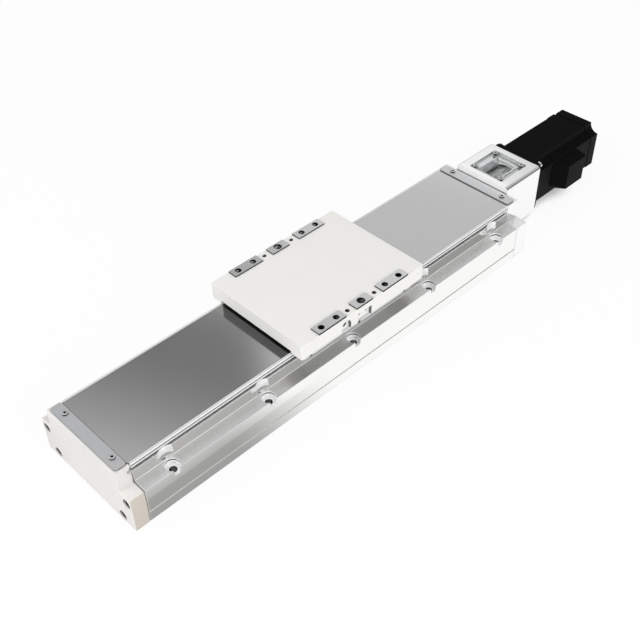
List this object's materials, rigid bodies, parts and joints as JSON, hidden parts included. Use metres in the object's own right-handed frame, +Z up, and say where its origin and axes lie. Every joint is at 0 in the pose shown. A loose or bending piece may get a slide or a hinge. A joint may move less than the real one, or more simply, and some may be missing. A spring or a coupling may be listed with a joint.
{
  "type": "ball screw linear module",
  "caption": "Low ball screw linear module with a strip cover, a painted carriage table on inner guide rails, a windowed coupling housing and a flange servo motor.",
  "frame": {"origin": "under the middle of the overall length, on the plane the base rests on", "axes": "+X along the stroke towards the motor, +Z up out of the carriage table, +Y to the left"},
  "size_m": [0.6504, 0.12, 0.0722],
  "materials": {
    "base_aluminium": "clear anodised extrusion, satin",
    "cap_paint": "warm white satin paint",
    "table_paint": "off-white satin paint",
    "plate_aluminium": "milled and anodised, satin",
    "cover_bright": "polished",
    "strip_steel": "smooth rolled stainless",
    "clamp_aluminium": "matte anodised",
    "pad_steel": "ground",
    "guide_steel": "ground and hardened",
    "bearing_steel": "ground",
    "saddle_aluminium": "milled",
    "dark_screw": "black oxide",
    "bright_screw": "zinc plated",
    "seal_plastic": "moulded",
    "bumper_rubber": "moulded",
    "hub_aluminium": "grey anodised",
    "spider_polymer": "moulded elastomer",
    "window_clear": "clear polished",
    "motor_black": "black satin",
    "connector_black": "moulded",
    "rotor_steel": "laminated and ground",
    "encoder_green": "circuit board",
    "encoder_glass": "clear"
  },
  "bodies": {
    "module": {"base_extrusion": "base_aluminium", "front_end_cap": "cap_paint", "front_cap_screws": "dark_screw", "rear_bearing_plate": "plate_aluminium", "rear_plate_screws": "dark_screw", "guide_rail_left": "guide_steel", "guide_rail_right": "guide_steel", "rail_screws": "dark_screw", "cover_rail_left": "cover_bright", "cover_rail_right": "cover_bright", "dust_strip": "strip_steel", "front_strip_clamp": "clamp_aluminium", "rear_strip_clamp": "clamp_aluminium", "strip_clamp_screws": "bright_screw", "end_bumpers": "bumper_rubber", "front_bearing_outer_ring": "bearing_steel", "rear_bearing_outer_rings": "bearing_steel", "bearing_retainer": "plate_aluminium", "retainer_screws": "dark_screw", "coupling_housing": "plate_aluminium", "housing_screws": "dark_screw", "window_cover": "window_clear", "window_screws": "bright_screw", "motor_flange": "motor_black", "motor_screws": "bright_screw", "motor_body": "motor_black", "motor_rear_cover": "motor_black", "motor_connector": "connector_black", "motor_bearings": "bearing_steel", "encoder_board": "encoder_green"},
    "carriage": {"carriage_table": "table_paint", "mounting_pads": "pad_steel", "carriage_saddle": "saddle_aluminium", "table_screws": "dark_screw", "guide_blocks": "guide_steel", "block_screws": "dark_screw", "block_end_seals": "seal_plastic", "ball_nut": "bearing_steel", "nut_screws": "dark_screw", "grease_nipple": "bright_screw"},
    "screw": {"ball_screw": "bearing_steel", "front_bearing_inner_ring": "bearing_steel", "rear_bearing_inner_rings": "bearing_steel", "lock_nut": "bearing_steel", "coupling_screw_hub": "hub_aluminium", "coupling_spider": "spider_polymer", "coupling_motor_hub": "hub_aluminium", "coupling_clamp_screws": "dark_screw", "motor_shaft": "bearing_steel", "motor_rotor": "rotor_steel", "encoder_disc": "encoder_glass"}
  },
  "joints": [
    {"name": "carriage_slide", "type": "slide", "parent": "module", "child": "carriage", "axis": [1, 0, 0], "range_m": [-0.16, 0.135]},
    {"name": "screw_spin", "type": "hinge", "parent": "module", "child": "screw", "pos_m": [0, 0, 0.0325], "axis": [1, 0, 0], "range_deg": [-4870, 5770]}
  ],
  "couplings": [
    {"joint": "screw_spin", "follows": "carriage_slide", "rad_per_m": -628.32}
  ]
}
